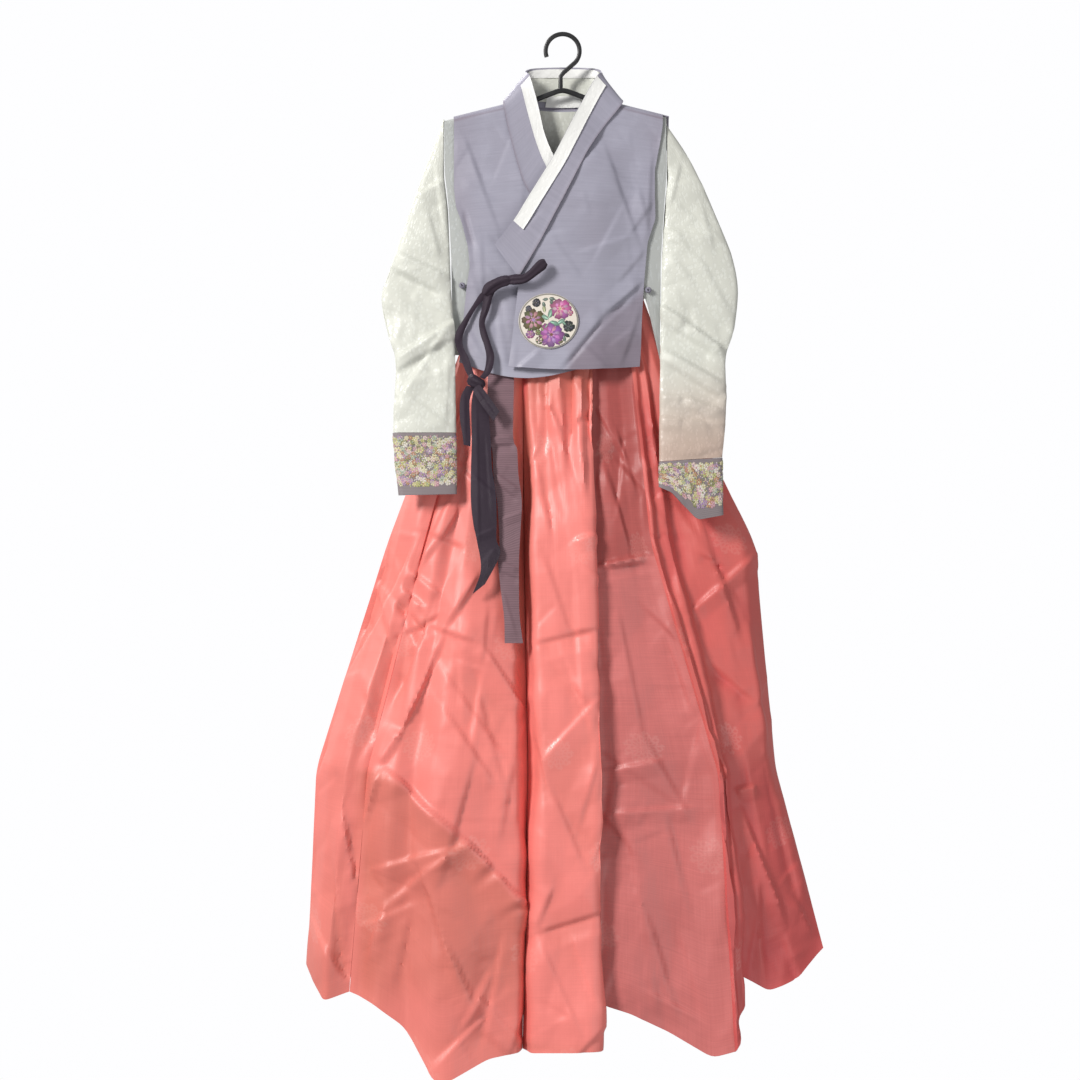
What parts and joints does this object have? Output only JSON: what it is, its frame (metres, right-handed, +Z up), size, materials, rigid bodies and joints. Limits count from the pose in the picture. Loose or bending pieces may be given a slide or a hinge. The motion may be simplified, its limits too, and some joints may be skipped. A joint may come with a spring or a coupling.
{
  "type": "korean hanbok on a hanger",
  "caption": "Korean hanbok on a hanger: lavender vest with crossed collar and ties over an ivory jeogori with brocade cuffs, and a full coral chima skirt.",
  "frame": {"origin": "inside top of the hanger's hook, where a rail or wall hook holds it", "axes": "+Z up, +X to the wearer's left, -Y is the front of the garment"},
  "size_m": [0.7758, 0.1969, 1.557],
  "materials": {
    "lavender_silk": "slubbed silk-like weave, low sheen",
    "ivory_satin": "ivory jacquard satin, soft sheen",
    "white_strip": "crisp white cotton-like satin",
    "coral_organza": "stiff coral organza with a sheen",
    "rose_organza": "dusty rose organza, more matte",
    "plum_ribbon": "dark plum ribbon, low sheen",
    "mauve_ribbon": "mauve ribbed ribbon",
    "cuff_brocade": "floral embroidery between grey bands",
    "medallion_embroidery": "embroidered floral patch on cream",
    "hanger_black": "black moulded plastic"
  },
  "bodies": {
    "root": {"hanger": "hanger_black", "vest_back": "lavender_silk", "vest_front_over": "lavender_silk", "vest_front_under": "lavender_silk", "vest_collar": "lavender_silk", "knot_left": "lavender_silk", "knot_right": "lavender_silk", "dongjeong_over": "white_strip", "dongjeong_under": "white_strip", "dongjeong_back": "white_strip", "neck_label": "white_strip", "jeogori_back": "ivory_satin", "jeogori_front_left": "ivory_satin", "jeogori_front_right": "ivory_satin", "jeogori_collar": "ivory_satin", "sleeve_left_front": "ivory_satin", "sleeve_left_back": "ivory_satin", "sleeve_right_front": "ivory_satin", "sleeve_right_back": "ivory_satin", "cuff_left": "cuff_brocade", "cuff_right": "cuff_brocade", "medallion": "medallion_embroidery", "skirt_band": "ivory_satin", "strap_left": "ivory_satin", "strap_right": "ivory_satin", "skirt_front_right": "coral_organza", "skirt_front_low": "coral_organza", "skirt_front_centre": "coral_organza", "skirt_front_rose": "rose_organza", "skirt_front_left": "coral_organza", "skirt_back_left": "coral_organza", "skirt_back_under": "coral_organza", "skirt_back_right": "coral_organza", "skirt_back_over": "coral_organza", "tie_loop": "plum_ribbon", "tie_knot_upper": "plum_ribbon", "tie_knot_lower": "plum_ribbon", "tie_strand_inner": "plum_ribbon", "tie_strand_outer": "plum_ribbon", "tie_tail_left": "plum_ribbon", "tie_tail_square": "plum_ribbon", "tie_tail_long": "plum_ribbon", "wide_tail": "mauve_ribbon"}
  },
  "joints": []
}
